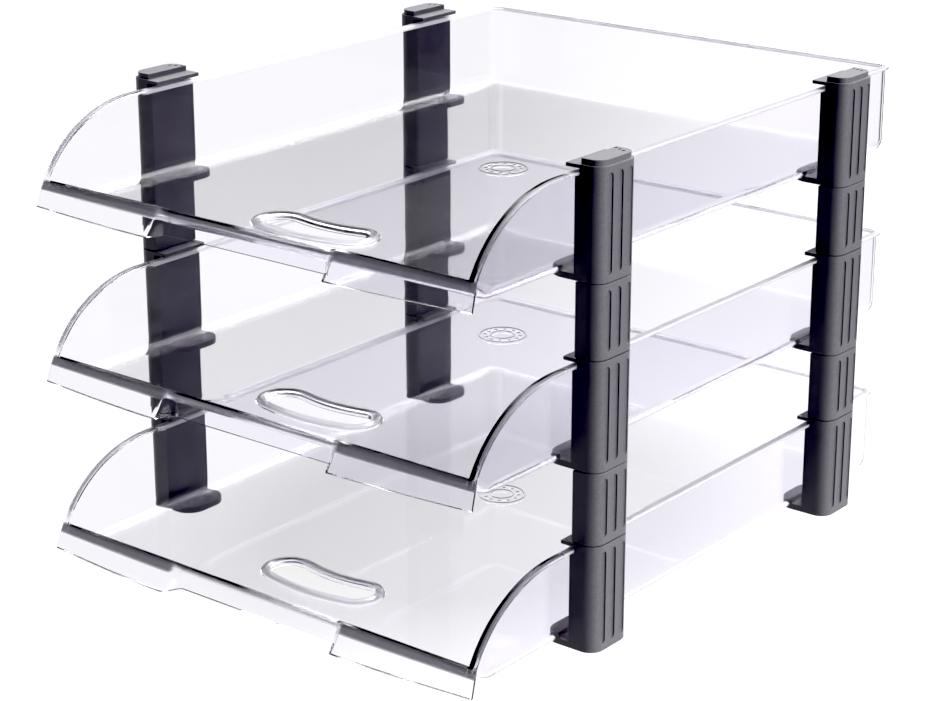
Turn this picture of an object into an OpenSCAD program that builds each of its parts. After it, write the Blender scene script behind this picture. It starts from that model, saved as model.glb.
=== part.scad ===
// Three-tier letter tray: three clear open-front trays carried by four plug-together columns.
// X runs across the width, Y from the open front to the rear, Z up from the desk.

/* [Stack] */
// Overall width across the columns
stack_w = 280; // [275:1:300]
// Distance from the middle of the front columns to the middle of the rear columns
column_span = 199.5; // [160:0.5:220]
// How far the middle of the front columns lies in front of the stack's centre
front_column_y = 82; // [72:0.5:90]
// Height of a tall column piece, which holds one tray
holder_h = 51.5; // [50:0.5:70]
// Height of a short column piece between two holders
spacer_h = 34.5; // [20:0.5:60]

/* [Columns] */
// Size of a column from front to rear
column_d = 28; // [26:0.5:32]
// Thickness of a holder below its notch
body_t = 14; // [13.5:0.25:16]
// Thickness of a spacer
spacer_t = 13; // [12:0.25:15]
// Thickness of a holder behind its notch
neck_t = 11.6; // [11.2:0.1:11.9]
// Radius of the two outer upright corners
corner_r = 7; // [4:0.5:8]
// Height of the plug on top of each piece
spigot_h = 2.2; // [1.5:0.1:3]
// How far the plug stands in from the outer faces
spigot_inset = 1.2; // [1:0.1:1.5]
// Clearance of a plug in its socket, on each side
plug_gap = 0.15; // [0.1:0.05:0.25]
// Wall thickness of the hollow above the socket
wall_t = 2.4; // [1.8:0.1:2.6]

/* [Holder] */
// Thickness of the lug under the tray
lug_h = 3; // [2:0.25:4]
// How far the lug reaches in past the holder's inner face
lug_reach = 15.7; // [12:0.1:20]
// Radius of the lug's two free corners
lug_r = 9.5; // [4:0.5:11.5]
// Thickness of the hook over the tray's rim
hook_h = 2.2; // [1.5:0.1:3]
// How far the hook reaches in past the neck
hook_reach = 7.2; // [4:0.2:9]
// Height of the notch between the hook and the body
notch_h = 3.3; // [2.5:0.1:4]

/* [Flutes] */
// Number of flutes in the outer face
flute_count = 3; // [1:1:4]
// Width of a flute
flute_w = 3.6; // [2:0.2:4]
// Depth of a flute
flute_depth = 1.1; // [0.5:0.1:1.3]
// Distance between flutes
flute_pitch = 7.25; // [5:0.25:8]
// Plain length left above and below a flute
flute_margin = 3.4; // [3:0.1:6]

/* [Tray] */
// Overall depth of a tray from front to rear
tray_d = 348; // [320:1:360]
// Wall thickness of a tray
tray_t = 2; // [1.6:0.1:2.4]
// How far the rim stands out from the wall
lip_w = 2.1; // [1:0.1:2.2]
// Thickness of the rim
lip_t = 1.5; // [1:0.1:2]
// Radius of the rim's rear corners
tray_r = 8; // [6:0.5:20]
// Running gap between a tray and its holders
tray_gap = 0.1; // [0.1:0.05:0.2]
// Depth of the swept front of the side walls
sweep_d = 56.6; // [40:0.2:60]
// Height of the crest above the tray's underside
crest_h = 13.7; // [10:0.1:18]
// Length of the ramp up to the crest
ramp_d = 15; // [12:0.5:20]

/* [Apron] */
// How far the outer parts of the apron lean out from the crest
apron_lean = 8.4; // [6:0.2:10]
// How far the middle part of the apron leans out from the crest
recess_lean = 1.5; // [0:0.1:3]
// Half the width of the set-back middle part
recess_x = 52; // [30:1:70]

/* [Finger hole] */
// Radius of the hole's curved centre line
hole_bend_r = 83; // [60:1:120]
// Half the angle that the centre line spans
hole_half_angle = 15; // [8:0.5:18]
// Half the width of the hole
hole_r = 8.8; // [7:0.1:11]
// Width of the raised collar round the hole
collar_w = 4.4; // [2:0.1:5]
// Height of the collar above the tray's floor
collar_h = 1.8; // [1:0.1:2.5]
// Distance of the hole from the tray's front
hole_from_front = 51.7; // [48:0.1:90]
// Outer radius of the ring moulded in the floor
ring_r = 12; // [8:0.5:20]
// Distance of the ring from the tray's front
ring_from_front = 192; // [150:1:220]

/* [Hidden] */
$fn = 96;
SMOKE = [0.80, 0.79, 0.86, 0.45];
CHARCOAL = [0.15, 0.15, 0.18];
TIERS = ["bottom", "middle", "top"];
SPACER_ROWS = ["lower", "upper"];
tier_h = holder_h + spacer_h;
outer_x = stack_w / 2;
body_x = outer_x - body_t;
spacer_x = outer_x - spacer_t;
neck_x = outer_x - neck_t;
lug_x = body_x - lug_reach;
hook_x = neck_x - hook_reach;
body_top = holder_h - hook_h - notch_h;
socket_h = spigot_h + 0.4;
column_front = -front_column_y;
column_rear = column_span - front_column_y;
// Each column: name, side (-1 left, 1 right) and the Y of its middle
COLUMNS = [
    ["front_left", -1, column_front],
    ["front_right", 1, column_front],
    ["rear_left", -1, column_rear],
    ["rear_right", 1, column_rear]
];

wall_x = body_x - 2 * tray_gap;
lip_x = wall_x + lip_w;
rear_y = tray_d / 2;
floor_z = lug_h + tray_gap;
floor_top = floor_z + tray_t;
rim_z = body_top + tray_gap + lip_t;
crest_z = floor_z + crest_h;
crest_y = apron_lean + tray_t / 2 - tray_d / 2;
ramp_y = crest_y + ramp_d;
sweep_y = crest_y + sweep_d;
sweep_end = 25;
sweep_a = sweep_d / cos(sweep_end);
sweep_b = (rim_z - crest_z) / (1 - sin(sweep_end));
flange_foot = [crest_y - 0.55 * apron_lean, floor_z + 1.9];
apron_z = floor_z + 0.9;
hole_y = hole_from_front - tray_d / 2;
ring_y = ring_from_front - tray_d / 2;
end_overlap = 0.03;

// Outline of a column seen from above: square at the inner face, rounded outside.
module column_plan(inner_x, inset) {
    r = corner_r - inset;
    corner_x = outer_x - corner_r;
    half_d = column_d / 2 - inset;
    translate([inner_x, -half_d]) square([corner_x - inner_x, 2 * half_d]);
    translate([inner_x, r - half_d]) square([corner_x + r - inner_x, 2 * (half_d - r)]);
    for (y = [r - half_d, half_d - r])
        intersection() {
            translate([corner_x, y]) circle(r);
            translate([corner_x, -column_d]) square([column_d, 2 * column_d]);
        }
}

// Moves a right-hand column piece to its own column and height.
module at_column(column, z) {
    translate([0, column[2], z])
        mirror([column[1] < 0 ? 1 : 0, 0, 0])
            children();
}

// Shallow upright grooves with round ends, cut into the outer face.
module flutes(height) {
    length = height - 2 * flute_margin - flute_w;
    for (i = [0 : flute_count - 1])
        translate([outer_x - flute_depth, (i - (flute_count - 1) / 2) * flute_pitch, height / 2])
            rotate([90, 0, 90])
                linear_extrude(flute_depth + 1) {
                    square([flute_w, length], center = true);
                    for (s = [-1, 1]) translate([0, s * length / 2]) circle(flute_w / 2);
                }
}

// Socket that takes the plug of the piece below, with the hollow above it.
module socket_and_hollow(hollow_top) {
    translate([0, 0, -1])
        linear_extrude(socket_h + 1)
            column_plan(neck_x - plug_gap, spigot_inset - plug_gap);
    linear_extrude(hollow_top) column_plan(neck_x + 1, wall_t);
}

// Plug on top of a piece, with three small dimples near its rear edge.
module plug(z) {
    difference() {
        translate([0, 0, z - 1]) linear_extrude(spigot_h + 1) column_plan(neck_x, spigot_inset);
        for (i = [-1 : 1])
            translate([neck_x + 3.8 + 2.8 * i, column_d / 2 - 4.6 - 1.2 * i, z + spigot_h - 0.4])
                cylinder(h = 1, r = 0.6);
    }
}

// Tall piece: lug under the tray, notch for its rim and a hook over the rim.
module holder(tier, column) {
    color(CHARCOAL) at_column(column, tier * tier_h) difference() {
        union() {
            linear_extrude(body_top) column_plan(body_x, 0);
            linear_extrude(holder_h) column_plan(neck_x, 0);
            plug(holder_h);
            holder_lug();
            translate([hook_x, -column_d / 2, holder_h - hook_h])
                cube([neck_x - hook_x + 1, column_d, hook_h]);
        }
        socket_and_hollow(holder_h - wall_t);
        flutes(holder_h);
    }
}

// Rounded shelf at the foot of a holder.
module holder_lug() {
    half_d = column_d / 2;
    linear_extrude(lug_h) {
        translate([lug_x + lug_r, -half_d]) square([body_x + 1 - lug_x - lug_r, column_d]);
        translate([lug_x, lug_r - half_d]) square([lug_r + 1, column_d - 2 * lug_r]);
        for (s = [-1, 1]) translate([lug_x + lug_r, s * (half_d - lug_r)]) circle(lug_r);
    }
}

// Short piece between two holders.
module spacer(row, column) {
    color(CHARCOAL) at_column(column, row * tier_h + holder_h) difference() {
        union() {
            linear_extrude(spacer_h) column_plan(spacer_x, 0);
            plug(spacer_h);
        }
        socket_and_hollow(spacer_h - wall_t);
        flutes(spacer_h);
    }
}

// Points of the swept front edge, part of an ellipse from the rim down to the crest, moved in by d.
function sweep(d) = [
    for (a = [90 : -5 : sweep_end])
        [sweep_y - (sweep_a - d) * cos(a), rim_z - sweep_b * (1 - sin(a)) - d * sin(a)]
];

function reversed(list) = [for (i = [len(list) - 1 : -1 : 0]) list[i]];

// Strip of constant thickness along a line of points. Its round joints are a hair thicker than
// its straight runs, so that the two cross.
module strip(points, thickness) {
    for (p = points) translate(p) circle(thickness / 2 + end_overlap);
    for (i = [1 : len(points) - 1]) {
        run = points[i] - points[i - 1];
        translate(points[i - 1])
            rotate(atan2(run[1], run[0]))
                translate([0, -thickness / 2])
                    square([norm(run), thickness]);
    }
}

// Turns a Y-Z outline into a solid that spans x0 to x1.
module across(x0, x1) {
    translate([x0, 0, 0]) rotate([90, 0, 90]) linear_extrude(x1 - x0) children();
}

// Outline of the tray from above, square in front and rounded at the rear.
module tray_plan(half_w, far_y, r) {
    translate([-half_w, -tray_d]) square([2 * half_w, tray_d + far_y - r]);
    translate([r - half_w, 0]) square([2 * (half_w - r), far_y]);
    for (s = [-1, 1]) translate([s * (half_w - r), far_y - r]) circle(r);
}

// Side and rear walls, cut to the swept profile, with the rim round their top.
module tray_walls() {
    wall_y = rear_y - lip_w;
    wall_r = tray_r - lip_w;
    intersection() {
        linear_extrude(rim_z) difference() {
            tray_plan(wall_x, wall_y, wall_r);
            tray_plan(wall_x - tray_t, wall_y - tray_t, wall_r - tray_t);
        }
        across(-outer_x, outer_x) polygon(concat(
            [[ramp_y, floor_z], [rear_y, floor_z], [rear_y, rim_z]],
            sweep(0),
            [[crest_y, crest_z - 1.5]]
        ));
    }
    intersection() {
        translate([0, 0, rim_z - lip_t]) linear_extrude(lip_t) difference() {
            tray_plan(lip_x, rear_y, tray_r);
            tray_plan(wall_x - 1, wall_y - 1, wall_r - 1);
        }
        translate([-outer_x, sweep_y, 0]) cube([stack_w, tray_d, stack_w]);
    }
}

// Flange that carries the rim down the swept front to the foot of the apron.
module tray_flange() {
    for (x0 = [-lip_x, wall_x - tray_t])
        across(x0, x0 + tray_t + lip_w) {
            polygon(concat(sweep(0), reversed(sweep(lip_t))));
            strip([reversed(sweep(lip_t / 2))[0], flange_foot], lip_t);
        }
}

// Floor, ramp and apron in one strip, with the middle of the apron set back.
module tray_floor() {
    h = tray_t / 2;
    foot = [ramp_y, floor_z + h];
    crest = [crest_y, crest_z - h];
    low_crest = [crest_y + 0.6, crest_z - 1 - h];
    toe = [crest_y - apron_lean, apron_z + h];
    recess_toe = [crest_y + 0.6 - recess_lean, apron_z + h];
    for (s = [-1, 1])
        across(min(s * recess_x, s * wall_x), max(s * recess_x, s * wall_x))
            strip([foot, crest, toe], tray_t);
    across(-recess_x, recess_x) strip([foot, low_crest, recess_toe], tray_t);
    for (s = [-1, 1])
        across(s * recess_x - h, s * recess_x + h) {
            polygon([foot, crest, toe, recess_toe, low_crest]);
            strip([crest, toe, recess_toe, low_crest], tray_t);
        }
    intersection() {
        translate([0, 0, floor_z]) linear_extrude(tray_t)
            tray_plan(wall_x, rear_y - lip_w, tray_r - lip_w);
        translate([-wall_x, ramp_y, 0]) cube([2 * wall_x, tray_d, rim_z]);
    }
}

// Kidney outline about a bent centre line, half_w to each side of it. Its round ends are a hair
// wider than its arcs, so that the two cross.
module kidney(half_w) {
    reach = 2 * hole_bend_r;
    translate([0, hole_y + hole_bend_r]) {
        intersection() {
            difference() {
                circle(hole_bend_r + half_w, $fn = 360);
                circle(hole_bend_r - half_w, $fn = 360);
            }
            polygon([
                [0, 0],
                reach * [-sin(hole_half_angle), -cos(hole_half_angle)],
                reach * [sin(hole_half_angle), -cos(hole_half_angle)]
            ]);
        }
        for (s = [-1, 1])
            rotate(s * hole_half_angle) translate([0, -hole_bend_r]) circle(half_w + end_overlap);
    }
}

// One clear tray, at rest in the holders of its tier.
module tray(tier) {
    color(SMOKE) translate([0, 0, tier * tier_h]) {
        tray_walls();
        tray_flange();
        difference() {
            union() {
                tray_floor();
                translate([0, 0, floor_z]) linear_extrude(tray_t + collar_h) kidney(hole_r + collar_w);
                translate([0, ring_y, floor_z + 0.5]) cylinder(h = tray_t - 0.2, r = ring_r);
            }
            linear_extrude(rim_z) kidney(hole_r);
            translate([0, ring_y, floor_top]) cylinder(h = tray_t, r = ring_r - 1);
        }
    }
}

for (tier = [0 : 2])
    tray(tier);
for (tier = [0 : 2], column = COLUMNS)
    holder(tier, column);
for (row = [0 : 1], column = COLUMNS)
    spacer(row, column);
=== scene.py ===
import math

import bmesh
import bpy
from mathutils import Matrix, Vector


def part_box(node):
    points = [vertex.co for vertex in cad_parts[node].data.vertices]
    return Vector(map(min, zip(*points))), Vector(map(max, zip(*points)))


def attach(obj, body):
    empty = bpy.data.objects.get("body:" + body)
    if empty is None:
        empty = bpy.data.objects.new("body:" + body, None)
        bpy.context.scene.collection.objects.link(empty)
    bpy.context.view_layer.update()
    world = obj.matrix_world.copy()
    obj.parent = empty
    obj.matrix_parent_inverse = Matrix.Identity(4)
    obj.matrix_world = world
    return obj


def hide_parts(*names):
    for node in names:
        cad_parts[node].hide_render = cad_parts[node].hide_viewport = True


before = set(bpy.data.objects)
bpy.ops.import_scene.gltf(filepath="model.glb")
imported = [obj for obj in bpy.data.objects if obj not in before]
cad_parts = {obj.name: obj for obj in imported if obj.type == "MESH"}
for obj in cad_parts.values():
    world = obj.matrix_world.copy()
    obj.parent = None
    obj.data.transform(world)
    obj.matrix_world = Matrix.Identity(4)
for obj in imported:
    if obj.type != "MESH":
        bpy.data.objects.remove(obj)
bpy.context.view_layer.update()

MM = 0.001
TIERS = ["bottom", "middle", "top"]
ROWS = ["lower", "upper"]
SIDES = {"left": -1, "right": 1}
ENDS = ["front", "rear"]


def extent(node):
    """Lowest and highest corner of a CAD node, in millimetres."""
    low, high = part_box(node)
    return Vector(low) / MM, Vector(high) / MM


# ---------------------------------------------------------------- sizes, in mm, read from the frame

HOLDER_LOW, HOLDER_HIGH = extent("holder_bottom_front_right")
SPACER_LOW, SPACER_HIGH = extent("spacer_lower_front_right")
TRAY_HIGH = extent("tray_bottom")[1]
TIER_H = extent("holder_middle_front_right")[0].z - HOLDER_LOW.z
COLUMN_D = HOLDER_HIGH.y - HOLDER_LOW.y
COLUMN_Y = {end: (extent(f"holder_bottom_{end}_right")[0].y + COLUMN_D / 2) for end in ENDS}
PLUG_H = 2.2
HOLDER_H = HOLDER_HIGH.z - PLUG_H
SPACER_H = SPACER_HIGH.z - SPACER_LOW.z - PLUG_H
OUTER_X = HOLDER_HIGH.x
LUG_X = HOLDER_LOW.x
SPACER_X = SPACER_LOW.x

# ---------------------------------------------------------------- helpers for meshes


def mesh_object(name, bm):
    """A linked object from a bmesh in millimetres."""
    bmesh.ops.recalc_face_normals(bm, faces=bm.faces)
    bmesh.ops.scale(bm, vec=(MM, MM, MM), verts=bm.verts)
    mesh = bpy.data.meshes.new(name)
    bm.to_mesh(mesh)
    bm.free()
    obj = bpy.data.objects.new(name, mesh)
    bpy.context.scene.collection.objects.link(obj)
    return obj


def loft(bm, rings, cap_start=True, cap_end=True):
    """Skins a list of closed rings, each a list of (x, y, z) with the same count."""
    loops = [[bm.verts.new(p) for p in ring] for ring in rings]
    count = len(loops[0])
    for low, high in zip(loops, loops[1:]):
        for i in range(count):
            j = (i + 1) % count
            bm.faces.new((low[i], low[j], high[j], high[i]))
    if cap_start:
        bm.faces.new(reversed(loops[0]))
    if cap_end:
        bm.faces.new(loops[-1])
    return loops


def weld(bm):
    """Merges corners that coincide, and removes the faces between levels that have no area."""
    bmesh.ops.remove_doubles(bm, verts=bm.verts, dist=1e-4)
    seen = {}
    for face in bm.faces:
        seen.setdefault(frozenset(face.verts), []).append(face)
    twins = [face for faces in seen.values() if len(faces) > 1 for face in faces]
    bmesh.ops.delete(bm, geom=twins, context="FACES")


def bevel(obj, width, segments, angle):
    mod = obj.modifiers.new("bevel", "BEVEL")
    mod.width = width * MM
    mod.segments = segments
    mod.limit_method = "ANGLE"
    mod.angle_limit = math.radians(angle)
    mod.use_clamp_overlap = True


def cut(obj, cutter):
    mod = obj.modifiers.new("cut", "BOOLEAN")
    mod.operation = "DIFFERENCE"
    mod.solver = "EXACT"
    mod.object = cutter


def bake_modifiers(obj, cutters=()):
    """Replaces the object's mesh by its evaluated one, and removes the cutters."""
    bpy.context.view_layer.update()
    graph = bpy.context.evaluated_depsgraph_get()
    mesh = bpy.data.meshes.new_from_object(obj.evaluated_get(graph))
    obj.modifiers.clear()
    obj.data = mesh
    for cutter in cutters:
        bpy.data.objects.remove(cutter)


def smooth(obj, angle):
    for polygon in obj.data.polygons:
        polygon.use_smooth = True
    obj.data.set_sharp_from_angle(angle=math.radians(angle))
    mod = obj.modifiers.new("even_normals", "WEIGHTED_NORMAL")
    mod.mode = "FACE_AREA"
    mod.weight = 100
    mod.keep_sharp = True


# ---------------------------------------------------------------- column pieces

# x of a holder's inner face below its notch, behind the notch, and at the free end of its hook
BODY_X = 126.0
NECK_X = 128.4
HOOK_X = 121.2
LUG_H = 3.0
NOTCH_LOW = 46.0
NOTCH_HIGH = 49.3
OUTER_R = 7.0
LUG_R = 9.5
PLUG_INSET = 1.2
PLUG_GAP = 0.15
SOCKET_H = PLUG_H + 0.4
HOLLOW_WALL = 2.4
# a piece ends this much low, so that a dark line shows between it and the next
SEAM = 0.45
FLUTE_W = 3.6
FLUTE_DEPTH = 1.1
FLUTE_PITCH = 7.25
FLUTE_MARGIN = 3.4
# the middle dimple's distance from the neck and from the rear edge, and the step to the next dimple
DIMPLE_PLACE = (3.8, 4.6)
DIMPLE_STEP = (2.8, 1.2)
# a dimple's radius at heights above the plug's top, from its floor upwards
DIMPLE_RINGS = [(0.75, -1.1), (0.85, -0.8), (0.9, 1)]


def arc(cx, cy, radius, start, end, steps):
    turn = [math.radians(start + (end - start) * i / steps) for i in range(steps + 1)]
    return [(cx + radius * math.cos(a), cy + radius * math.sin(a)) for a in turn]


def column_ring(z, inner_x, inner_r=0.0, inset=0.0, breaks=(BODY_X, NECK_X)):
    """Plan outline of a right-hand column piece at height z, about the column's own middle.

    The breaks are corners on its front and rear edges, for the level above or below to meet.
    """
    half = COLUMN_D / 2 - inset
    far = OUTER_X - inset
    radius = OUTER_R - inset
    start = inner_x + inner_r
    front = arc(start, inner_r - half, inner_r, 180, 270, 8)
    front += [(max(x, start), -half) for x in breaks]
    front += arc(far - radius, radius - half, radius, -90, 0, 12)
    rear = [(x, -y) for x, y in reversed(front)]
    return [(x, y, z) for x, y in front + rear]


def capsule(x, y, half_w, z0, z1, steps=10):
    """Outline of an upright slot with round ends, in the plane at x."""
    top = arc(y, z1 - half_w, half_w, 0, 180, steps)
    foot = arc(y, z0 + half_w, half_w, 180, 360, steps)
    return [(x, a, b) for a, b in top + foot]


def flute_cutter(height):
    bm = bmesh.new()
    floor_x = OUTER_X - FLUTE_DEPTH
    half = FLUTE_W / 2
    low, high = FLUTE_MARGIN, height - FLUTE_MARGIN
    for i in (-1, 0, 1):
        y = i * FLUTE_PITCH
        # the floor of a flute is rounded into its walls, which open out a little
        rings = [(floor_x, half - 0.7), (floor_x + 0.12, half - 0.35), (floor_x + 0.4, half - 0.1),
                 (OUTER_X, half), (OUTER_X + 1, half + 0.25)]
        loft(bm, [capsule(x, y, w, low + half - w, high - half + w) for x, w in rings])
    return mesh_object("flute_cutter", bm)


def hollow_cutter(height):
    bm = bmesh.new()
    gap = PLUG_INSET - PLUG_GAP
    loft(bm, [column_ring(-1, NECK_X - PLUG_GAP, 0, gap), column_ring(SOCKET_H, NECK_X - PLUG_GAP, 0, gap),
              column_ring(SOCKET_H, NECK_X + 1, 0, HOLLOW_WALL),
              column_ring(height - HOLLOW_WALL, NECK_X + 1, 0, HOLLOW_WALL)])
    weld(bm)
    return mesh_object("hollow_cutter", bm)


def dimple_cutter(height):
    bm = bmesh.new()
    top = height + PLUG_H
    for i in (-1, 0, 1):
        x = NECK_X + DIMPLE_PLACE[0] + DIMPLE_STEP[0] * i
        y = COLUMN_D / 2 - DIMPLE_PLACE[1] - DIMPLE_STEP[1] * i
        loft(bm, [[(a, b, top + h) for a, b in arc(x, y, r, 0, 345, 23)] for r, h in DIMPLE_RINGS])
    return mesh_object("dimple_cutter", bm)


def column_piece(name, height, levels):
    """A piece of a right-hand column from its outline at each level, with flutes, socket and plug."""
    bm = bmesh.new()
    rings = [column_ring(*level) for level in levels]
    rings += [column_ring(z, NECK_X, 0, PLUG_INSET) for z in (height - SEAM, height + PLUG_H)]
    loft(bm, rings)
    weld(bm)
    piece = mesh_object(name, bm)
    bevel(piece, 0.35, 3, 50)
    cutters = [flute_cutter(height), hollow_cutter(height), dimple_cutter(height)]
    for cutter in cutters:
        cut(piece, cutter)
    bevel(piece, 0.12, 2, 40)
    bake_modifiers(piece, cutters)
    return piece


def holder_levels():
    lug = (LUG_X, LUG_R)
    hook = (HOOK_X, 0, 0, (HOOK_X, NECK_X))
    return [(0, *lug), (LUG_H, *lug), (LUG_H, BODY_X), (NOTCH_LOW, BODY_X), (NOTCH_LOW, NECK_X),
            (NOTCH_HIGH, NECK_X), (NOTCH_HIGH, *hook), (HOLDER_H - SEAM, *hook)]


def spacer_levels():
    return [(0, SPACER_X), (SPACER_H - SEAM, SPACER_X)]


def mirrored(mesh):
    """A copy of a mesh with left and right changed over."""
    bm = bmesh.new()
    bm.from_mesh(mesh)
    bmesh.ops.scale(bm, vec=(-1, 1, 1), verts=bm.verts)
    bmesh.ops.reverse_faces(bm, faces=bm.faces)
    copy = mesh.copy()
    bm.to_mesh(copy)
    bm.free()
    return copy


def place_columns(material):
    models = {"holder": column_piece("holder_model", HOLDER_H, holder_levels()),
              "spacer": column_piece("spacer_model", SPACER_H, spacer_levels())}
    levels = [("holder", tier, f"{tier}_holders", i * TIER_H) for i, tier in enumerate(TIERS)]
    levels += [("spacer", row, f"{row}_spacers", i * TIER_H + HOLDER_H) for i, row in enumerate(ROWS)]
    for model in models.values():
        model.data.materials.clear()
        model.data.materials.append(material)
    meshes = {(kind, 1): model.data for kind, model in models.items()}
    meshes.update({(kind, -1): mirrored(model.data) for kind, model in models.items()})
    for kind, level, body, z in levels:
        for side, sign in SIDES.items():
            for end in ENDS:
                node = f"{kind}_{level}_{end}_{side}"
                piece = bpy.data.objects.new(node + "_moulded", meshes[(kind, sign)])
                bpy.context.scene.collection.objects.link(piece)
                piece.location = Vector((0, COLUMN_Y[end], z)) * MM
                smooth(piece, 32)
                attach(piece, body)
                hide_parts(node)
    for model in models.values():
        bpy.data.objects.remove(model)


# ---------------------------------------------------------------- tray

WALL_T = 2.0
LIP_W = 2.1
RIM_X = TRAY_HIGH.x
INNER_X = RIM_X - LIP_W - WALL_T
REAR_Y = TRAY_HIGH.y - LIP_W - WALL_T
INNER_R = 5.0
FLOOR_TOP = 5.1
RIM_Z = TRAY_HIGH.z
FILLET = 6.0
CORNER_FILLET = 4.8
FILLET_STEPS = 5
# the swept front edge is part of an ellipse: where it leaves the rim, and its half axes along y and z
SWEEP_Y = -108.0
SWEEP_A = 62.45
SWEEP_B = 53.34
# (y, z) of the front crest at the sides, and in the middle where it is set back
CREST = Vector((-164.6, 16.8))
MID_CREST = Vector((-163.2, 15.8))
# the apron's lower edge: y beside the recess, at the outer corners and in the recess, then its height
TOE_Y = -173.9
TOE_CORNER_Y = -169.0
MID_TOE_Y = -165.2
TOE_Z = 4.0
# where the ramp would meet the floor, and the radius that eases it in
FOOT_Y = -149.2
FOOT_R = 10.0
# the recess in the apron steps back between these two distances from the middle
RECESS_IN = 46.5
RECESS_OUT = 53.0
# beyond this distance the apron bows back towards the corners
BOW_X = 57.0
CREST_R = 0.6
APRON_T = 1.1
# cross-section of the rim, from the inner wall over the lip to the outer wall: (outward, up)
RIM_UP = [(0, -0.7), (0.2, -0.2), (0.7, 0), (3.5, 0), (3.92, -0.18), (4.1, -0.6)]
RIM_DOWN = [(4.1, -0.95), (3.92, -1.33), (3.5, -1.5), (2.6, -1.5), (2.17, -1.67), (2.0, -2.1)]
# rows of the ramp above its foot, and of the apron below its crest, as shares of their length
RAMP_FRACTIONS = [0.36, 0.7, 1.0]
APRON_FRACTIONS = [0.33, 0.66, 1.0]
# the side wall at each row of the ramp: radius of its fillet, and the angle reached on the swept edge
RAMP_FILLETS = [6.0, 5.7, 5.3, 4.8, 3.7, 2.0, 0.25]
RAMP_SWEEPS = [53, 50, 46.5, 43, 38, 31.5, 25]
CREST_STEPS = 4
FOOT_STEPS = 3
TOE_FLARE = 0.9
# where the ramp and the apron have their columns, closer together across the step in the apron
STEP_COLUMNS = [RECESS_IN + 0.8 * i for i in range(8)]
FLOOR_COLUMNS = [0, 15, 30, 42, RECESS_IN - 1, *STEP_COLUMNS, RECESS_OUT, 54.5, BOW_X, 61, 70, 82, 96, 110]

# the finger hole is a bent slot; its collar's section is a list of (distance from the bent line, z)
HOLE_BEND_R = 83.0
HOLE_Y = -122.3
HOLE_HALF_ANGLE = math.radians(15)
COLLAR = [(13.7, 5.1), (13.25, 5.2), (12.95, 5.55), (12.65, 6.15), (12.1, 6.65), (11.3, 6.88), (10.2, 6.88),
          (9.45, 6.62), (8.98, 6.15), (8.8, 5.6), (8.8, 3.35), (9.0, 3.1), (10.0, 3.1), (10.25, 3.4),
          (10.35, 4.6), (10.6, 5.1), (11.1, 5.3), (11.7, 5.1), (12.2, 4.5), (12.7, 3.6), (13.2, 3.1)]
# the moulded mark: sections of its outer ring, its inner ring and a dot, as (radius, z)
MARK_Y = 18.0
MARK_RINGS = [(12.2, 5.1), (12.05, 5.4), (11.35, 5.4), (11.15, 5.1)]
MARK_INNER = [(6.3, 5.1), (6.15, 5.4), (5.55, 5.4), (5.4, 5.1)]
MARK_DOT = [(0.85, 5.1), (0.6, 5.4)]
MARK_DOTS = 12
MARK_DOT_R = 8.75


def lerp(a, b, t):
    return a + (b - a) * t


def smoothstep(low, high, value):
    t = min(max((value - low) / (high - low), 0), 1)
    return t * t * (3 - 2 * t)


def crest_at(x):
    """Where the ramp's top would meet the apron's face, as (y, z), at distance x from the middle."""
    return MID_CREST.lerp(CREST, smoothstep(RECESS_IN, BOW_X, abs(x)))


def toe_at(x):
    """Lower front edge of the apron, as (y, z): set back in the middle and towards the corners."""
    bow = max(0, (abs(x) - BOW_X) / (RIM_X - BOW_X)) ** 1.5
    outer = lerp(TOE_Y, TOE_CORNER_Y, bow)
    return Vector((lerp(MID_TOE_Y, outer, smoothstep(RECESS_IN, RECESS_OUT, abs(x))), TOE_Z))


def front_section(x):
    """The front's section at x: ramp rows with their up vectors, crest rows, apron line, inner fold."""
    crest, toe = crest_at(x), toe_at(x)
    slope = math.atan2(crest.y - FLOOR_TOP, FOOT_Y - crest.x)
    start_y = FOOT_Y + FOOT_R * math.tan(slope / 2)
    ramp = []
    for i in range(FOOT_STEPS + 1):
        a = slope * i / FOOT_STEPS
        point = Vector((start_y - FOOT_R * math.sin(a), FLOOR_TOP + FOOT_R * (1 - math.cos(a))))
        ramp.append((point, Vector((math.sin(a), math.cos(a)))))
    up = ramp[-1][1]
    down = (toe - crest).normalized()
    face = Vector((down.y, -down.x))
    turn = up.angle(face)
    trim = CREST_R * math.tan(turn / 2)
    start = ramp[-1][0]
    end = crest - (crest - start).normalized() * trim
    ramp += [(start.lerp(end, f), up) for f in RAMP_FRACTIONS]
    centre = end - up * CREST_R
    first = math.atan2(up.y, up.x)
    rows = []
    for i in range(1, CREST_STEPS + 1):
        a = first + turn * i / CREST_STEPS
        rows.append(centre + CREST_R * Vector((math.cos(a), math.sin(a))))
    fold = crest - APRON_T * (up + face) / (1 + up.dot(face))
    return ramp, rows, fold


def apron_at(x, t):
    """A point of the apron's outer face, from the crest (t = 0) to the toe (t = 1)."""
    line = crest_at(x).lerp(toe_at(x), t)
    flare = max(0, abs(x) - INNER_X) / (RIM_X - INNER_X) * TOE_FLARE * t
    return Vector((x + math.copysign(flare, x), line.x, line.y))


def apron_inner_at(x, t):
    """The point behind apron_at(x, t) on the inner face."""
    step = 0.2
    across = apron_at(x + step, t) - apron_at(x - step, t)
    down = apron_at(x, 1) - apron_at(x, 0)
    normal = across.cross(down).normalized()
    if normal.y > 0:
        normal.negate()
    point = apron_at(x, t) - APRON_T * normal
    if t == 1:
        point += down * ((TOE_Z - point.z) / down.z)
    return point


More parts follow.
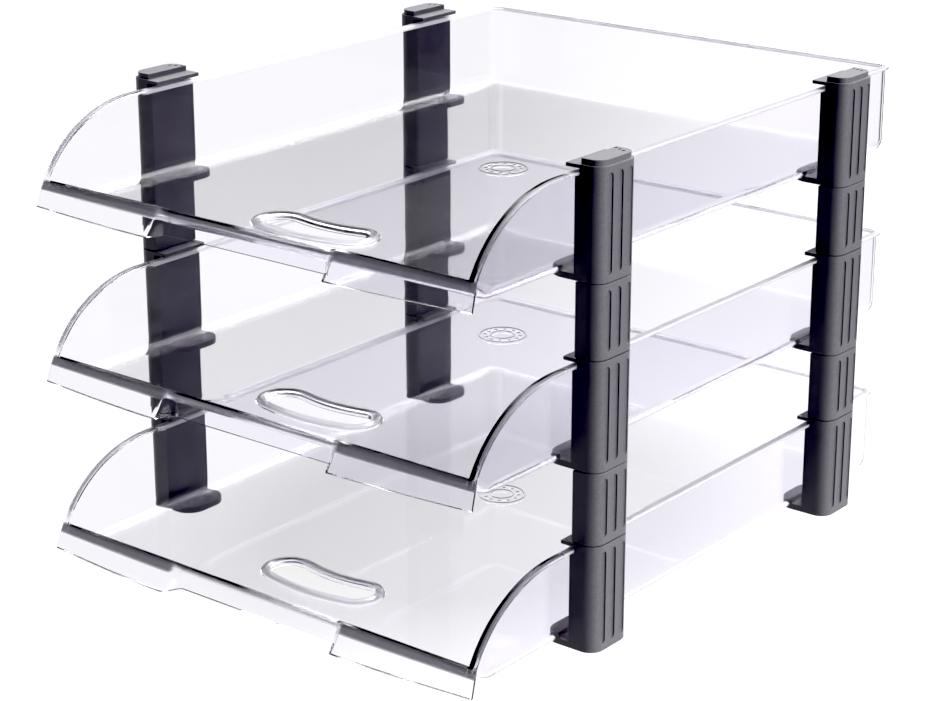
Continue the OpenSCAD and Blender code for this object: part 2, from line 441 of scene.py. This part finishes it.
def sweep_at(angle):
    """Rim point and outward direction of the swept front edge, as (y, z) pairs."""
    a = math.radians(angle)
    point = Vector((SWEEP_Y - SWEEP_A * math.cos(a), RIM_Z - SWEEP_B * (1 - math.sin(a))))
    return point, Vector((-math.cos(a) / SWEEP_A, math.sin(a) / SWEEP_B)).normalized()


def station(wall, out, fillet, border=None, up=None, angle=None):
    """One section through the wall: its fillet's start, directions and rim, all as 3-D vectors."""
    out3 = Vector((out[0], out[1], 0))
    if border is None:
        border = Vector((wall[0], wall[1], FLOOR_TOP)) - out3 * fillet
    up3 = Vector((0, 0, 1)) if up is None else Vector((0, up.x, up.y))
    rim, rim_up = Vector((wall[0], wall[1], RIM_Z)), Vector((0, 0, 1))
    if angle is not None:
        point, normal = sweep_at(angle)
        rim, rim_up = Vector((wall[0], point.x, point.y)), Vector((0, normal.x, normal.y))
    return {"border": border, "out": out3, "up": up3, "fillet": fillet, "rim": rim, "rim_up": rim_up}


def right_stations():
    """Sections from the middle of the rear wall round to the front right corner."""
    stations = [station((x, REAR_Y), (0, 1), FILLET) for x in (0, 40, 80, 108)]
    for i in range(9):
        a = math.radians(90 - 90 * i / 8)
        out = (math.cos(a), math.sin(a))
        wall = (INNER_X - INNER_R + INNER_R * out[0], REAR_Y - INNER_R + INNER_R * out[1])
        stations.append(station(wall, out, CORNER_FILLET))
    for y in (152, 120, 80, 40, 0, -40, -75, SWEEP_Y + 12):
        stations.append(station((INNER_X, y), (1, 0), FILLET))
    for angle in (90, 86, 82, 78, 74, 70, 66, 61.5, 57):
        point, _ = sweep_at(angle)
        stations.append(station((INNER_X, point.x), (1, 0), FILLET, angle=angle))
    for row, (fillet, angle) in enumerate(zip(RAMP_FILLETS, RAMP_SWEEPS)):
        x = INNER_X - fillet
        point, up = front_section(x)[0][row]
        border = Vector((x, point.x, point.y))
        stations.append(station((INNER_X, point.x), (1, 0), fillet, border=border, up=up, angle=angle))
    return stations


def section_points(s, last):
    """Points of a section, floor to rim along the inside and back down along the outside."""
    upper = [s["border"]]
    turns = [math.radians(90 * i / FILLET_STEPS) for i in range(FILLET_STEPS + 1)]
    for a in turns[1:]:
        upper.append(s["border"] + s["fillet"] * (math.sin(a) * s["out"] + (1 - math.cos(a)) * s["up"]))
    upper += [s["rim"] + a * s["out"] + b * s["rim_up"] for a, b in RIM_UP]
    lower = [s["rim"] + a * s["out"] + b * s["rim_up"] for a, b in RIM_DOWN]
    centre = s["border"] + s["fillet"] * s["up"]
    reach = s["fillet"] + WALL_T
    if not last:
        for a in reversed(turns):
            lower.append(centre + reach * (math.sin(a) * s["out"] - math.cos(a) * s["up"]))
        return upper, lower
    # the last section ends on the apron's inner face
    x = s["border"].x
    fold = front_section(x)[2]
    down = (toe_at(x) - crest_at(x)).normalized()
    top_z = lower[-1].z - 0.4
    for a in reversed(turns):
        z = lerp(fold.y, top_z, 1 - math.cos(a))
        lower.append(Vector((x + reach * math.sin(a), fold.x + (z - fold.y) * down.x / down.y, z)))
    return upper, lower


def flip(point):
    return Vector((-point.x, point.y, point.z))


def kidney(half_w, z):
    """Outline of the finger hole's bent slot, half_w to each side of its centre line."""
    centre_y = HOLE_Y + HOLE_BEND_R
    h = HOLE_HALF_ANGLE

    def at(radius, angle):
        return Vector((radius * math.sin(angle), centre_y - radius * math.cos(angle), z))

    points = []
    for side in (1, -1):
        for i in range(13):
            points.append(at(HOLE_BEND_R + side * half_w, side * lerp(-h, h, i / 12)))
        end = at(HOLE_BEND_R, side * h)
        radial = side * Vector((math.sin(side * h), -math.cos(side * h), 0))
        along = side * Vector((math.cos(side * h), math.sin(side * h), 0))
        for i in range(1, 10):
            a = math.pi * i / 10
            points.append(end + half_w * (math.cos(a) * radial + math.sin(a) * along))
    return points


def circle(x, y, radius, z, count):
    return [Vector((x + radius * math.cos(a), y + radius * math.sin(a), z))
            for a in (2 * math.pi * i / count for i in range(count))]


def strip_faces(bm, first, second, closed=False):
    count = len(first)
    for i in range(count if closed else count - 1):
        j = (i + 1) % count
        corners = [first[i], first[j], second[j], second[i]]
        bm.faces.new(corners)


def rings_of(bm, outlines):
    """Skins outlines one after another and returns the first and last loop of vertices."""
    loops = [[bm.verts.new(p) for p in outline] for outline in outlines]
    for low, high in zip(loops, loops[1:]):
        strip_faces(bm, low, high, closed=True)
    return loops[0], loops[-1]


def fill(bm, loops):
    """Fills the flat region between closed loops of vertices."""
    edges = []
    for loop in loops:
        for a, b in zip(loop, loop[1:] + loop[:1]):
            edges.append(bm.edges.get((a, b)) or bm.edges.new((a, b)))
    bmesh.ops.triangle_fill(bm, edges=edges, use_beauty=True, use_dissolve=False)


def left_sections(sections):
    """The right side's sections mirrored; the rear wall's middle belongs to the right side."""
    return [[[flip(p) for p in points] for points in section] for section in sections[1:]]


def section_vertices(bm, sections):
    return [[[bm.verts.new(p) for p in points] for points in section] for section in sections]


def wall_faces(bm, left, right):
    """The wall, from the front left corner round the rear to the front right one."""
    around = list(reversed(left)) + right
    for (up_a, low_a), (up_b, low_b) in zip(around, around[1:]):
        strip_faces(bm, up_a + low_a, up_b + low_b)


def ramp_faces(bm, left, right):
    """The ramp, from the foot to the crest; returns its rows of vertices above and below."""
    ramp_rows = len(RAMP_FILLETS)
    columns = [-x for x in reversed(FLOOR_COLUMNS[1:])] + FLOOR_COLUMNS
    fronts = [front_section(x) for x in columns]
    top_rows, low_rows = [], []
    for row in range(ramp_rows):
        before, after = left[row - ramp_rows], right[row - ramp_rows]
        top, low = [before[0][0]], [before[1][-1]]
        for x, (ramp_row, _, fold) in zip(columns, fronts):
            point, up = ramp_row[row]
            under = fold if row == ramp_rows - 1 else point - WALL_T * up
            top.append(bm.verts.new((x, point.x, point.y)))
            low.append(bm.verts.new((x, under.x, under.y)))
        top_rows.append(top + [after[0][0]])
        low_rows.append(low + [after[1][-1]])
    for rows in (top_rows, low_rows):
        for a, b in zip(rows, rows[1:]):
            strip_faces(bm, a, b)
    return top_rows, low_rows


def outer_column(top, on_ramp):
    """Points down the crest and the apron's outer face, below a point of the ramp or the swept rim."""
    face = [apron_at(top.x, t) for t in APRON_FRACTIONS]
    if on_ramp:
        return [Vector((top.x, p.x, p.y)) for p in front_section(top.x)[1]] + face
    return [top.lerp(face[0], 0.25 * i / CREST_STEPS) for i in range(1, CREST_STEPS + 1)] + face


def apron_faces(bm, left_end, right_end, crest_row, fold_row):
    """The crest and the apron; past the ramp's ends they hang from the swept rim."""
    outer_top = list(reversed(left_end[0][1:])) + crest_row + right_end[0][1:]
    inner_top = left_end[1][:-1] + fold_row + list(reversed(right_end[1][:-1]))
    outer = [[v] + [bm.verts.new(p) for p in outer_column(v.co, v in crest_row)] for v in outer_top]
    inner = [[v] + [bm.verts.new(apron_inner_at(v.co.x, t)) for t in APRON_FRACTIONS] for v in inner_top]
    for columns in (outer, inner):
        for a, b in zip(columns, columns[1:]):
            strip_faces(bm, a, b)
    for end in (0, -1):
        bm.faces.new(outer[end] + list(reversed(inner[end])))
    # the lower edge: quads along the ramp's columns, one face at each end
    toe_out, toe_in = [c[-1] for c in outer], [c[-1] for c in inner]
    first_out, first_in = len(left_end[0]) - 1, len(left_end[1]) - 1
    last_out, last_in = first_out + len(crest_row) - 1, first_in + len(crest_row) - 1
    strip_faces(bm, toe_out[first_out:last_out + 1], toe_in[first_in:last_in + 1])
    bm.faces.new(toe_out[:first_out + 1] + list(reversed(toe_in[:first_in + 1])))
    bm.faces.new(toe_out[last_out:] + list(reversed(toe_in[last_in:])))


def moulded_mark(bm):
    """The mark's rings and dots; returns its outer edge, and the edges of the flat part inside it."""
    ring_outer, ring_inner = rings_of(bm, [circle(0, MARK_Y, r, z, 48) for r, z in MARK_RINGS])
    hub_outer, hub_inner = rings_of(bm, [circle(0, MARK_Y, r, z, 32) for r, z in MARK_INNER])
    bm.faces.new(hub_inner)
    dots = []
    for i in range(MARK_DOTS):
        a = 2 * math.pi * i / MARK_DOTS
        x, y = MARK_DOT_R * math.cos(a), MARK_Y + MARK_DOT_R * math.sin(a)
        foot, top = rings_of(bm, [circle(x, y, r, z, 10) for r, z in MARK_DOT])
        bm.faces.new(top)
        dots.append(foot)
    return ring_outer, [ring_inner, hub_outer] + dots


def floor_faces(bm, left, right, ramp_top, ramp_low):
    """The floor above and below, with the finger hole's collar and the moulded mark."""
    flat = len(right) - len(RAMP_FILLETS) + 1
    edge = list(reversed(left[:flat - 1])) + right[:flat]
    collar_outer, collar_inner = rings_of(bm, [kidney(w, z) for w, z in COLLAR])
    mark_edge, inside_mark = moulded_mark(bm)
    fill(bm, [[v[0][0] for v in edge] + list(reversed(ramp_top[1:-1])), collar_outer, mark_edge])
    fill(bm, inside_mark)
    fill(bm, [[v[1][-1] for v in edge] + list(reversed(ramp_low[1:-1])), collar_inner])


def tray_mesh():
    bm = bmesh.new()
    stations = right_stations()
    sections = [section_points(s, s is stations[-1]) for s in stations]
    right = section_vertices(bm, sections)
    left = section_vertices(bm, left_sections(sections))
    wall_faces(bm, left, right)
    top_rows, low_rows = ramp_faces(bm, left, right)
    apron_faces(bm, left[-1], right[-1], top_rows[-1], low_rows[-1])
    floor_faces(bm, left, right, top_rows[0], low_rows[0])
    bmesh.ops.remove_doubles(bm, verts=bm.verts, dist=1e-4)
    return bm


def place_trays(material):
    model = mesh_object("tray_model", tray_mesh())
    model.data.materials.append(material)
    for i, tier in enumerate(TIERS):
        piece = bpy.data.objects.new(f"tray_{tier}_clear", model.data)
        bpy.context.scene.collection.objects.link(piece)
        piece.location = Vector((0, 0, i * TIER_H)) * MM
        smooth(piece, 38)
        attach(piece, f"{tier}_tray")
        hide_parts(f"tray_{tier}")
    bpy.data.objects.remove(model)


# ---------------------------------------------------------------- materials

# the painted band's upper and lower edge on the tray, in mm; the band stands in for the refraction seen at
# the crest's fold
STRIP_TOP = 15.8
STRIP_FOOT = 12.0
# a box around the collar, in mm: half its width, and its ends along y
COLLAR_REACH = 45
COLLAR_FRONT = -143
COLLAR_REAR = -99


def new_material(name):
    material = bpy.data.materials.new(name)
    material.use_nodes = True
    nodes, links = material.node_tree.nodes, material.node_tree.links
    return material, nodes, links, nodes["Principled BSDF"]


def grey(level):
    return level, level, level


def noise(nodes, links, coords, scale, detail, roughness=0.5):
    node = nodes.new("ShaderNodeTexNoise")
    node.inputs["Scale"].default_value = scale
    node.inputs["Detail"].default_value = detail
    node.inputs["Roughness"].default_value = roughness
    links.new(coords.outputs["Object"], node.inputs["Vector"])
    return node


def ramp(nodes, links, source, stops):
    node = nodes.new("ShaderNodeValToRGB")
    links.new(source, node.inputs["Fac"])
    elements = node.color_ramp.elements
    while len(elements) < len(stops):
        elements.new(0.5)
    for element, (position, colour) in zip(elements, stops):
        element.position = position
        element.color = (*colour, 1)
    return node


def math_node(nodes, links, operation, a, b):
    node = nodes.new("ShaderNodeMath")
    node.operation = operation
    for socket, value in zip(node.inputs, (a, b)):
        if isinstance(value, float):
            socket.default_value = value
        else:
            links.new(value, socket)
    return node.outputs["Value"]


def mapped(nodes, links, value, low, high, start=0.0, end=1.0, curve="LINEAR"):
    node = nodes.new("ShaderNodeMapRange")
    node.interpolation_type = curve
    for name, number in (("From Min", low), ("From Max", high), ("To Min", start), ("To Max", end)):
        node.inputs[name].default_value = number
    links.new(value, node.inputs["Value"])
    return node.outputs["Result"]


def zone(nodes, links, *edges):
    """1 inside every soft edge, 0 outside; an edge is a value, where it counts as out and as in."""
    inside = mapped(nodes, links, *edges[0])
    for edge in edges[1:]:
        inside = math_node(nodes, links, "MULTIPLY", inside, mapped(nodes, links, *edge))
    return inside


def mix(nodes, links, factor, a, b):
    """Colour a where the factor is 0 and colour b where it is 1; each is a tuple or a socket."""
    node = nodes.new("ShaderNodeMix")
    node.data_type = "RGBA"
    links.new(factor, node.inputs["Factor"])
    for socket, value in (("A", a), ("B", b)):
        if isinstance(value, tuple):
            node.inputs[socket].default_value = (*value, 1)
        else:
            links.new(value, node.inputs[socket])
    return node.outputs["Result"]


def bump(nodes, links, height, strength, distance, shader):
    node = nodes.new("ShaderNodeBump")
    node.inputs["Strength"].default_value = strength
    node.inputs["Distance"].default_value = distance
    links.new(height, node.inputs["Height"])
    links.new(node.outputs["Normal"], shader.inputs["Normal"])


def place_and_normal(nodes, links, coords):
    """Separated object coordinates in millimetres, and the separated surface normal."""
    place, normal = nodes.new("ShaderNodeSeparateXYZ"), nodes.new("ShaderNodeSeparateXYZ")
    in_mm = nodes.new("ShaderNodeVectorMath")
    in_mm.operation = "SCALE"
    in_mm.inputs["Scale"].default_value = 1 / MM
    links.new(coords.outputs["Object"], in_mm.inputs[0])
    links.new(in_mm.outputs["Vector"], place.inputs["Vector"])
    links.new(coords.outputs["Normal"], normal.inputs["Vector"])
    return place, normal


def size_of(nodes, links, value):
    node = nodes.new("ShaderNodeMath")
    node.operation = "ABSOLUTE"
    links.new(value, node.inputs[0])
    return node.outputs["Value"]


def tray_zones(nodes, links, coords):
    """Masks over the tray: the painted band under the crest, its outer parts, straight rim, swept rim,
    collar.
    """
    place, normal = place_and_normal(nodes, links, coords)
    across = size_of(nodes, links, place.outputs["X"])
    along, up = place.outputs["Y"], place.outputs["Z"]
    sideways = size_of(nodes, links, normal.outputs["X"])
    # only on the apron's outer face
    # the band under the crest is painted: grey in the middle and near-black on its outer parts, as painted
    # shade for the refraction at the fold
    painted_band = zone(nodes, links, (normal.outputs["Y"], -0.70, -0.78), (along, -150, -155),
                 (up, STRIP_TOP + 0.2, STRIP_TOP), (up, STRIP_FOOT - 0.4, STRIP_FOOT))
    outer_part = zone(nodes, links, (across, RECESS_OUT - 2.5, RECESS_OUT))
    # the straight rim is painted pale grey, as painted light on the lip
    painted_light_straight_rim = zone(nodes, links, (along, SWEEP_Y + 4, SWEEP_Y + 8), (up, RIM_Z - 2.3, RIM_Z - 2.0))
    # the outer half of the swept edge, without the wall's own faces; it is painted near-black, as painted
    # shade for the dark line that refraction shows along the edge
    painted_dark_swept_rim = zone(nodes, links, (along, SWEEP_Y + 8, SWEEP_Y + 4), (along, CREST.x + 1.6, CREST.x + 4.6),
                     (sideways, 0.5, 0.3), (across, RIM_X - 2.3, RIM_X - 1.5))
    collar = zone(nodes, links, (across, COLLAR_REACH + 1, COLLAR_REACH - 1),
                  (up, FLOOR_TOP + 0.1, FLOOR_TOP + 0.4), (up, FLOOR_TOP + 2.7, FLOOR_TOP + 2.3),
                  (along, COLLAR_FRONT - 1, COLLAR_FRONT + 1), (along, COLLAR_REAR + 1, COLLAR_REAR - 1))
    return painted_band, outer_part, painted_light_straight_rim, painted_dark_swept_rim, collar


def clear_plastic():
    """Smoke-tinted polystyrene: faint flow waves, hazy marks, a rougher band under the crest and satin
    edges. The band is painted pale grey in the middle and near-black on its outer parts, as painted shade
    for the refraction at the crest's fold; the straight rim is painted pale grey as painted light, and the
    swept rim near-black as painted shade.
    """
    material, nodes, links, shader = new_material("clear_smoke_plastic")
    coords = nodes.new("ShaderNodeTexCoord")
    painted_band, outer_part, painted_light_straight_rim, painted_dark_swept_rim, collar = tray_zones(nodes, links, coords)
    rim = math_node(nodes, links, "MAXIMUM", painted_light_straight_rim, painted_dark_swept_rim)
    satin = math_node(nodes, links, "MAXIMUM", rim, collar)
    # the painted rim and the band's outer parts let less light through, so that their painted colour shows
    painted_opaque_part = math_node(nodes, links, "MAXIMUM", rim, math_node(nodes, links, "MULTIPLY", painted_band, outer_part))
    shader.inputs["IOR"].default_value = 1.33
    shader.inputs["Specular Tint"].default_value = (*grey(0.3), 1)
    links.new(mapped(nodes, links, painted_opaque_part, 0, 1, 1.0, 0.72), shader.inputs["Transmission Weight"])

    # painted shade: the band's colour, pale grey in the middle and near-black on its outer parts
    band_speckle = noise(nodes, links, coords, 900, 3, 0.7)
    painted_pale_band = ramp(nodes, links, band_speckle.outputs["Fac"], [(0.3, (0.76, 0.75, 0.80)), (0.7, (0.88, 0.87, 0.92))])
    painted_dark_band = ramp(nodes, links, band_speckle.outputs["Fac"], [(0.3, (0.16, 0.158, 0.18)), (0.7, (0.26, 0.257, 0.28))])
    painted_band_tint = mix(nodes, links, outer_part, painted_pale_band.outputs["Color"], painted_dark_band.outputs["Color"])
    tint = mix(nodes, links, painted_band, (0.93, 0.92, 0.965), painted_band_tint)
    # painted light: the rim is painted pale grey, and the collar takes the same grey; painted shade: the
    # swept rim is painted near-black
    tint = mix(nodes, links, satin, tint, (0.62, 0.61, 0.65))
    links.new(mix(nodes, links, painted_dark_swept_rim, tint, (0.30, 0.29, 0.33)), shader.inputs["Base Color"])

    haze = noise(nodes, links, coords, 18, 3)
    rough = ramp(nodes, links, haze.outputs["Fac"], [(0.35, grey(0.0)), (0.75, grey(0.035))])
    polished = mix(nodes, links, painted_band, rough.outputs["Color"], grey(0.25))
    links.new(mix(nodes, links, satin, polished, grey(0.38)), shader.inputs["Roughness"])
    bump(nodes, links, noise(nodes, links, coords, 9, 1).outputs["Fac"], 0.06, 0.001, shader)
    return material


def column_plastic():
    """Charcoal moulded plastic, rougher and speckled on the spark-eroded outer and upper faces, which are
    also painted paler as painted light where the light falls on them.
    """
    material, nodes, links, shader = new_material("charcoal_moulded_plastic")
    coords = nodes.new("ShaderNodeTexCoord")
    place, normal = place_and_normal(nodes, links, coords)
    facing_out = math_node(nodes, links, "MULTIPLY", place.outputs["X"], normal.outputs["X"])
    outer = mapped(nodes, links, facing_out, 30, 125)
    upward = mapped(nodes, links, normal.outputs["Z"], 0.3, 0.9)
    # outer and upper faces: grain and a rougher finish, and a paler colour that is painted light
    grain_and_painted_light_part = math_node(nodes, links, "MAXIMUM", outer, upward)

    def blend(plain, grain_and_painted_light, socket):
        both = mix(nodes, links, grain_and_painted_light_part, plain.outputs["Color"], grain_and_painted_light.outputs["Color"])
        links.new(both, shader.inputs[socket])

    shade = noise(nodes, links, coords, 60, 4)
    speckle = noise(nodes, links, coords, 1400, 3, 0.7)
    plain = ramp(nodes, links, shade.outputs["Fac"],
                 [(0.3, (0.017, 0.0162, 0.022)), (0.7, (0.025, 0.024, 0.032))])
    # the paler colour of the outer and upper faces is painted light; its speckle is grain
    grain_and_painted_light = ramp(nodes, links, speckle.outputs["Fac"],
                   [(0.3, (0.050, 0.049, 0.056)), (0.7, (0.084, 0.082, 0.092))])
    blend(plain, grain_and_painted_light, "Base Color")
    satin = ramp(nodes, links, shade.outputs["Fac"], [(0.2, grey(0.30)), (0.8, grey(0.42))])
    matt = ramp(nodes, links, shade.outputs["Fac"], [(0.2, grey(0.50)), (0.8, grey(0.62))])
    blend(satin, matt, "Roughness")
    bump(nodes, links, noise(nodes, links, coords, 2600, 2, 0.6).outputs["Fac"], 0.25, 0.0001, shader)
    shader.inputs["Specular IOR Level"].default_value = 0.4
    return material


# ---------------------------------------------------------------- studio

# strengths of the light from the dome, its dim part, the ceiling and the softbox on the right
SKY = 1.15
SHADE = 0.12
CEILING = 15.0
SOFTBOX = 11.0
BLACK_LEVEL = (0.035, 0.0355, 0.0320)
# the camera's place in metres, its shift as a share of the frame, and its lens and sensor in mm
CAMERA_PLACE = (0.70416, -0.89205, 0.47912)
CAMERA_TILT = math.radians(71.44)
CAMERA_TURN = math.radians(38.55)
CAMERA_SHIFT = (-0.0029, -0.0205)
FOCAL_LENGTH = 93.46
SENSOR_W = 36
# the light table's radius, and how far it lies below the columns, in mm
FLOOR_R = 6000
FLOOR_GAP = 0.2
# half the width and half the depth of the painted contact shadow under the bottom tray, in metres
CONTACT_HALF = (0.125, 0.165)
# directions along the floor: to the right in the picture, and towards the camera
TABLE_RIGHT = (0.89, 0.46, 0)
TABLE_NEAR = (0.623, -0.782, 0)
# the light table fades out this far along each direction, in metres
TABLE_EDGES = [(TABLE_RIGHT, 0.24, 0.5), (TABLE_NEAR, 0.22, 0.5)]


def facing(nodes, links, vector, direction, low, high, start, end):
    """A value that runs smoothly from start to end as a vector's share along a direction grows."""
    dot = nodes.new("ShaderNodeVectorMath")
    dot.operation = "DOT_PRODUCT"
    dot.inputs[1].default_value = Vector(direction).normalized()
    links.new(vector, dot.inputs[0])
    return mapped(nodes, links, dot.outputs["Value"], low, high, start, end, "SMOOTHSTEP")


def render_settings(scene):
    view = scene.view_settings
    view.view_transform = "Standard"
    view.use_curve_mapping = True
    view.curve_mapping.black_level = BLACK_LEVEL
    view.curve_mapping.update()
    scene.cycles.max_bounces = 24
    scene.cycles.transmission_bounces = 24
    scene.cycles.glossy_bounces = 10
    scene.cycles.diffuse_bounces = 3
    scene.cycles.sample_clamp_indirect = 8


def place_camera(scene):
    camera = bpy.data.cameras.new("camera")
    camera.lens = FOCAL_LENGTH
    camera.sensor_width = SENSOR_W
    camera.shift_x, camera.shift_y = CAMERA_SHIFT
    camera.clip_end = 20
    holder = bpy.data.objects.new("camera", camera)
    holder.location = CAMERA_PLACE
    holder.rotation_euler = (CAMERA_TILT, 0, CAMERA_TURN)
    scene.collection.objects.link(holder)
    scene.camera = holder


def painted_contact_shadow(nodes, links, coords):
    """A painted contact shadow: the table glows a little less under the bottom tray, which stands close over
    it.
    """
    footprint = nodes.new("ShaderNodeVectorMath")
    footprint.operation = "MULTIPLY"
    footprint.inputs[1].default_value = (1 / CONTACT_HALF[0], 1 / CONTACT_HALF[1], 0)
    reach = nodes.new("ShaderNodeVectorMath")
    reach.operation = "LENGTH"
    links.new(coords.outputs["Object"], footprint.inputs[0])
    links.new(footprint.outputs["Vector"], reach.inputs[0])
    return mapped(nodes, links, reach.outputs["Value"], 0.7, 1.1, 0.84, 1.0)


def light_table():
    """A glowing floor, a little stronger towards the right, that fades out beyond two lines, with a painted
    contact shadow under the bottom tray.
    """
    material, nodes, links, shader = new_material("light_table")
    shader.inputs["Base Color"].default_value = (0.01, 0.01, 0.01, 1)
    shader.inputs["Specular IOR Level"].default_value = 0
    shader.inputs["Roughness"].default_value = 1
    shader.inputs["Emission Color"].default_value = (1, 1, 1, 1)
    coords = nodes.new("ShaderNodeTexCoord")
    faded = [facing(nodes, links, coords.outputs["Object"], direction, start, end, 1, 0.1)
             for direction, start, end in TABLE_EDGES]
    glow = math_node(nodes, links, "MULTIPLY", *faded)
    level = facing(nodes, links, coords.outputs["Object"], TABLE_RIGHT, -0.15, 0.12, 1.01, 1.2)
    # painted contact shadow: the glow is weaker under the bottom tray
    level = math_node(nodes, links, "MULTIPLY", level, painted_contact_shadow(nodes, links, coords))
    links.new(math_node(nodes, links, "MULTIPLY", glow, level), shader.inputs["Emission Strength"])
    return material


def place_floor(material):
    bm = bmesh.new()
    bmesh.ops.create_circle(bm, cap_ends=True, segments=96, radius=FLOOR_R)
    floor = mesh_object("floor", bm)
    floor.location = (0, 0, -FLOOR_GAP * MM)
    floor.data.materials.append(material)


def light_world(scene):
    """A dome dim behind the camera's left, bright overhead, with a strong softbox along the right."""
    world = bpy.data.worlds.new("studio")
    scene.world = world
    world.use_nodes = True
    nodes, links = world.node_tree.nodes, world.node_tree.links
    background = nodes["Background"]
    coords = nodes.new("ShaderNodeTexCoord")

    def sky(*args):
        return facing(nodes, links, coords.outputs["Generated"], *args)

    dome = sky((-0.65, -0.76, 0), -0.42, -0.12, SKY, SHADE)
    ceiling = math_node(nodes, links, "MULTIPLY",
                        sky((0, 0.8, 0.6), 0.5, 0.95, 0, CEILING), sky((0, 0, 1), 0.5, 0.7, 0, 1))
    softbox = math_node(nodes, links, "MULTIPLY",
                        sky((1, -0.1, 0.2), 0.8, 0.97, 0, SOFTBOX), sky((0, 0, 1), 0.5, 0.8, 1, 0))
    light = math_node(nodes, links, "ADD", dome, ceiling)
    links.new(math_node(nodes, links, "ADD", light, softbox), background.inputs["Strength"])
    background.inputs["Color"].default_value = (1.0, 0.995, 1.0, 1)


def studio():
    scene = bpy.context.scene
    render_settings(scene)
    place_camera(scene)
    place_floor(light_table())
    light_world(scene)


studio()
place_columns(column_plastic())
place_trays(clear_plastic())
